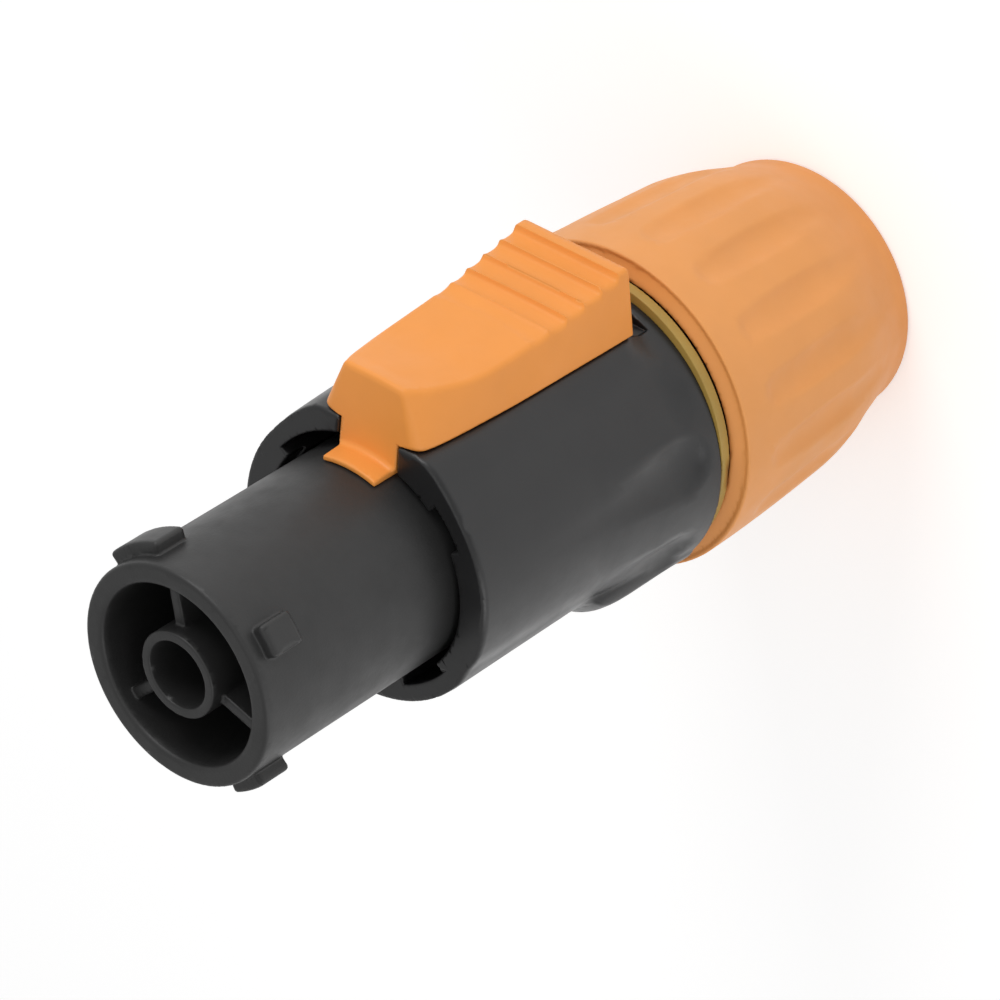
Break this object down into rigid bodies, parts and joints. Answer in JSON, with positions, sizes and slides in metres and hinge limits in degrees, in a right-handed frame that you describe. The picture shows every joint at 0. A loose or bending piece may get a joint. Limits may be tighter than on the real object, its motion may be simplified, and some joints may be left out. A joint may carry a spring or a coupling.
{
  "type": "twist-lock power connector",
  "caption": "Cable-end twist-lock power connector: barrel with locking lugs, housing with a sliding latch, seal ring and a scalloped gland nut.",
  "frame": {"origin": "centre of the cable hole in the gland nut's end face", "axes": "+Z along the connector's axis towards its nose, latch on the -Y side"},
  "size_m": [0.0302, 0.034, 0.0804],
  "materials": {
    "housing_black": "smooth moulded, glossy",
    "insert_black": "moulded, satin",
    "signal_orange": "moulded, satin",
    "seal_olive": "moulded, satin",
    "block_grey": "moulded, matte",
    "chuck_white": "moulded, satin",
    "gland_rubber": "matte",
    "contact_metal": "silver plated",
    "terminal_brass": "turned",
    "fastener_steel": "zinc plated"
  },
  "bodies": {
    "housing": {"housing_shell": "housing_black", "plug_insert": "insert_black", "terminal_block": "block_grey", "latch_spring": "fastener_steel", "housing_seal_ring": "seal_olive", "line_socket": "contact_metal", "line_terminal": "terminal_brass", "line_terminal_screw": "fastener_steel", "line_clamp_plate": "fastener_steel", "neutral_socket": "contact_metal", "neutral_terminal": "terminal_brass", "neutral_terminal_screw": "fastener_steel", "neutral_clamp_plate": "fastener_steel", "earth_socket": "contact_metal", "earth_terminal": "terminal_brass", "earth_terminal_screw": "fastener_steel", "earth_clamp_plate": "fastener_steel"},
    "latch": {"latch": "signal_orange"},
    "chuck": {"cable_chuck": "chuck_white", "gland_slip_ring": "chuck_white"},
    "nut": {"gland_nut": "signal_orange", "gland_seal": "gland_rubber"}
  },
  "joints": [
    {"name": "latch_slide", "type": "slide", "parent": "housing", "child": "latch", "axis": [0, 0, -1], "range_m": [0, 0.0024], "stiffness_N_per_m": 1500, "springref_m": -0.003, "deforming": ["latch_spring"]},
    {"name": "chuck_slide", "type": "slide", "parent": "housing", "child": "chuck", "axis": [0, 0, -1], "range_m": [0, 0.008]},
    {"name": "nut_spin", "type": "hinge", "parent": "chuck", "child": "nut", "pos_m": [0, 0, 0], "axis": [0, 0, -1], "range_deg": [0, 1440]}
  ],
  "couplings": [
    {"joint": "chuck_slide", "follows": "nut_spin", "m_per_rad": 0.00031831}
  ]
}
